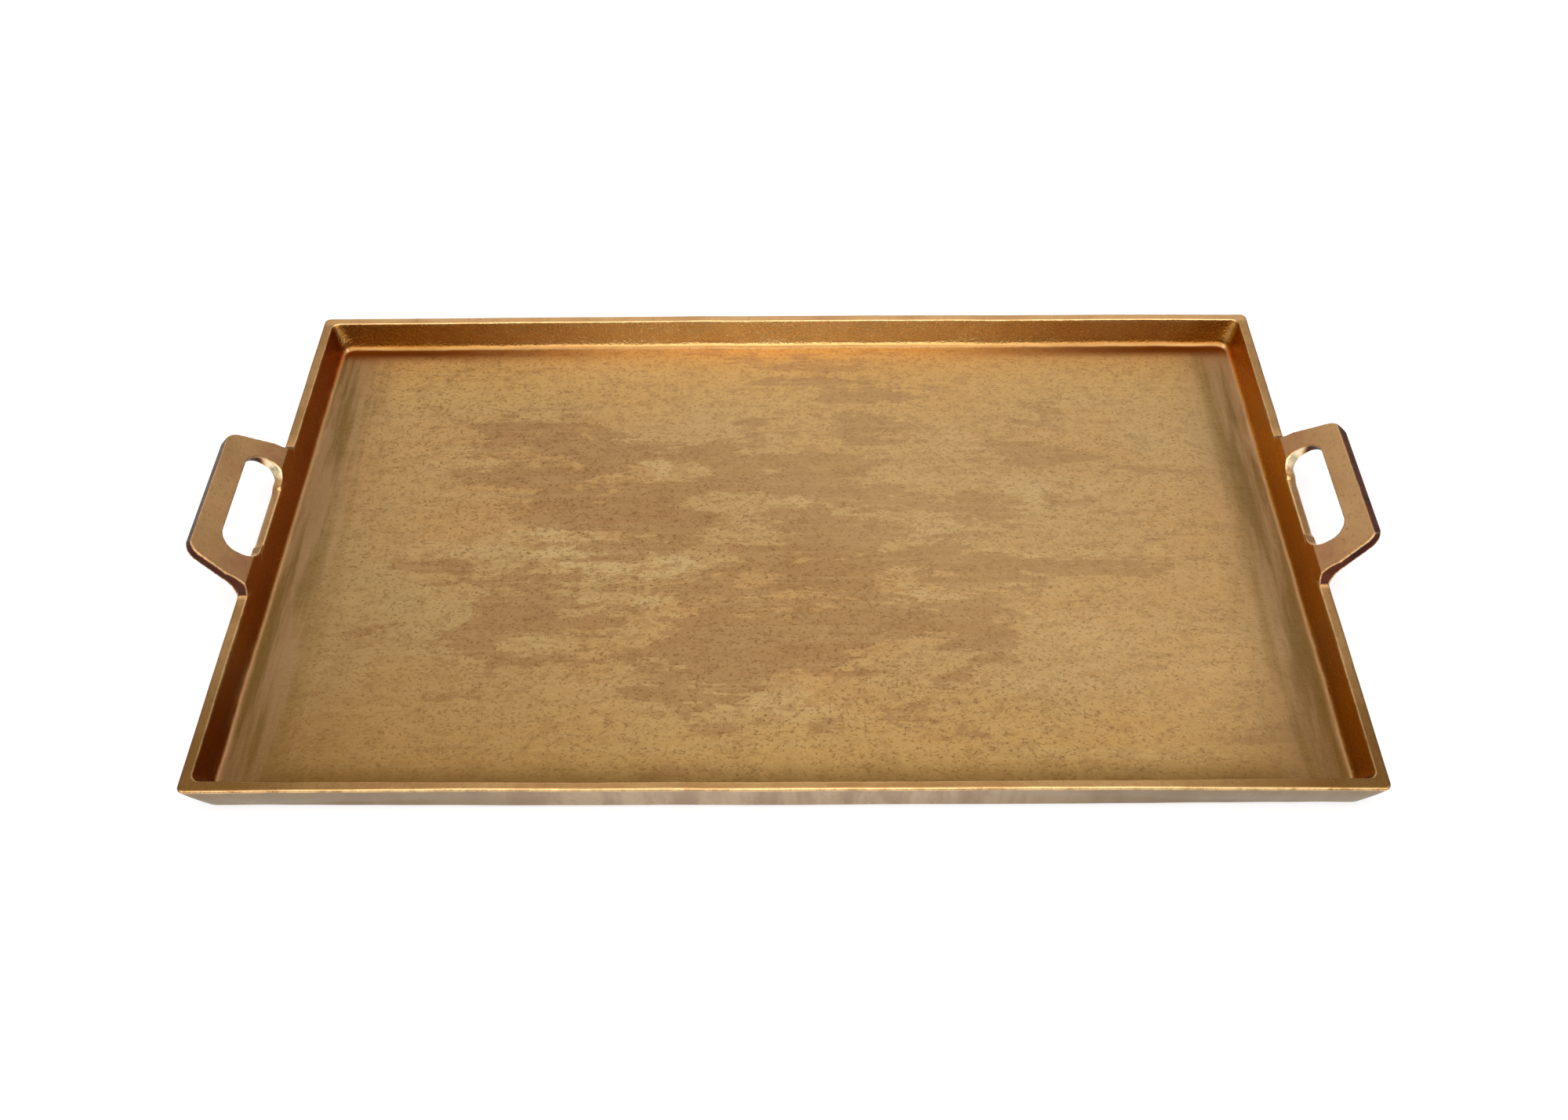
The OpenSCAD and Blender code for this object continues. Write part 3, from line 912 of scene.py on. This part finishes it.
def make_pad(name, node, material):
    """A pressed felt disc with soft edges and a slightly uneven rim."""
    low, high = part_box(node)
    centre = (low + high) / 2
    outline = pad_outline((high.x - low.x) / 2, high.z - low.z)
    turns = 72
    verts, faces = [], []
    for r, z in outline:
        for k in range(turns):
            a = 2 * math.pi * k / turns
            fuzz = 1 + 0.012 * wave(math.cos(a), math.sin(a), z * 40, 0.12, centre.x)
            verts.append((centre.x + r * fuzz * math.cos(a), centre.y + r * fuzz * math.sin(a), low.z + z))
    for ring in range(len(outline) - 1):
        for k in range(turns):
            a, b = ring * turns + k, ring * turns + (k + 1) % turns
            faces.append((a, b, b + turns, a + turns))
    for ring, end_height, flip in ((0, low.z, True), (len(outline) - 1, high.z, False)):
        hub = len(verts)
        verts.append((centre.x, centre.y, end_height))
        for k in range(turns):
            a, b = ring * turns + k, ring * turns + (k + 1) % turns
            faces.append((b, a, hub) if flip else (a, b, hub))
    return new_piece(name, verts, faces, material)


def settle(piece, node):
    """Puts a finished piece in its CAD node's place."""
    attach(piece, "root")
    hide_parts(node)


# ---------------------------------------------------------------- stage, light and camera

def make_stage():
    """A plain pale floor that gives off a little light of its own, so that it stays nearly white."""
    size = 4.0
    verts = [(-size, -size, 0), (size, -size, 0), (size, size, 0), (-size, size, 0)]
    g = Graph("studio_floor")
    material = g.surface(colour=(0.3, 0.3, 0.3, 1), rough=0.9)
    g.shader.inputs["Emission Color"].default_value = (1, 1, 1, 1)
    g.shader.inputs["Emission Strength"].default_value = 0.75
    floor = new_piece("studio_floor", verts, [(0, 1, 2, 3)], material)


class Sky:
    """Brightness by direction, built from the world's own direction coordinates."""

    def __init__(self):
        world = bpy.data.worlds.new("studio")
        scene.world = world
        world.use_nodes = True
        self.tree = world.node_tree
        self.background = self.tree.nodes["Background"]
        self.way = self.tree.nodes.new("ShaderNodeTexCoord").outputs["Generated"]

    def ramp(self, towards, low, high, out_low, out_high):
        """A smooth step over how far a direction leans the given way."""
        lean = self.tree.nodes.new("ShaderNodeVectorMath")
        lean.operation = "DOT_PRODUCT"
        self.tree.links.new(self.way, lean.inputs[0])
        lean.inputs[1].default_value = towards
        step = self.tree.nodes.new("ShaderNodeMapRange")
        step.interpolation_type = "SMOOTHSTEP"
        self.tree.links.new(lean.outputs["Value"], step.inputs["Value"])
        limits = {"From Min": low, "From Max": high, "To Min": out_low, "To Max": out_high}
        for name, value in limits.items():
            step.inputs[name].default_value = value
        return step.outputs["Result"]

    def math(self, operation, a, b):
        made = self.tree.nodes.new("ShaderNodeMath")
        made.operation = operation
        for socket, value in zip(made.inputs, (a, b)):
            if hasattr(value, "is_output"):
                self.tree.links.new(value, socket)
            else:
                socket.default_value = value
        return made.outputs["Value"]


def back_glow(sky):
    """Broad light high behind the tray, fading towards the front, with a softbox at either side of it."""
    spread = math.radians(23)
    glow = sky.ramp(UP, 0.12, 0.48, 0.15, 1.0)
    halves = [(side * math.cos(spread), math.sin(spread), 0) for side in SIDES.values()]
    left, right = [sky.ramp(half, -0.12, 0.12, 0.28, 1) for half in halves]
    glow = sky.math("MULTIPLY", glow, sky.math("MINIMUM", left, right))
    softboxes = {"left": 0.38, "right": 0.18}
    for side, brightness in softboxes.items():
        box = sky.ramp((SIDES[side] * 0.62, 0.66, 0.42), 0.95, 0.985, 0, brightness)
        glow = sky.math("ADD", glow, box)
    return glow


def make_world():
    """A dim room with a broad soft light behind, a bright panel overhead and a small window in front."""
    sky = Sky()
    glow = back_glow(sky)
    panel = sky.ramp((0, -0.6, 0.8), 0.45, 0.75, 0, 2.0)
    panel = sky.math("MULTIPLY", panel, sky.ramp(UP, 0.30, 0.60, 0, 1))
    window = sky.ramp((0, -1, 0), 0.965, 0.998, 0, 0.55)
    strength = sky.math("ADD", sky.math("ADD", glow, panel), window)
    # Seen directly by the camera, the background is nearly white
    eye = sky.tree.nodes.new("ShaderNodeLightPath")
    pale = sky.tree.nodes.new("ShaderNodeMix")
    sky.tree.links.new(eye.outputs["Is Camera Ray"], pale.inputs[0])
    sky.tree.links.new(strength, pale.inputs[2])
    pale.inputs[3].default_value = 1.0
    sky.tree.links.new(pale.outputs[0], sky.background.inputs["Strength"])
    sky.background.inputs["Color"].default_value = (1, 0.985, 0.96, 1)


def make_camera():
    """The viewpoint: in front of the tray and above it, looking down at about 46 degrees."""
    data = bpy.data.cameras.new("camera")
    data.sensor_width = 36
    data.lens = 37.9
    camera = bpy.data.objects.new("camera", data)
    scene.collection.objects.link(camera)
    camera.location = (0.0093, -0.6859, RIM_TOP + 0.6732)
    pitch, yaw, roll = math.radians(45.86), math.radians(0.765), math.radians(-0.786)
    look = Matrix.Rotation(yaw, 4, "Z") @ Matrix.Rotation(math.pi / 2 - pitch, 4, "X")
    look = look @ Matrix.Rotation(roll, 4, "Z")
    camera.rotation_euler = look.to_euler()
    scene.camera = camera


make_camera()
make_world()
make_stage()
scene.view_settings.view_transform = "Standard"

pan = make_pan(brass_with_painted_light("cast_brass_patina_and_painted_light"))
settle(pan, "tray_pan")
brass = brass_with_painted_light("handle_brass_patina_and_painted_light")
copper = braze_metal()
wool = felt()
for side in SIDES:
    settle(make_loop(side, brass), "handle_" + side)
    bead = cast_copy("bead_" + side, "braze_" + side, 0.4 * MM, 2, copper)
    settle(bead, "braze_" + side)
    for end in ("front", "back"):
        pad = make_pad("pad_" + end + "_" + side, "foot_pad_" + end + "_" + side, wool)
        settle(pad, "foot_pad_" + end + "_" + side)

bpy.context.view_layer.update()
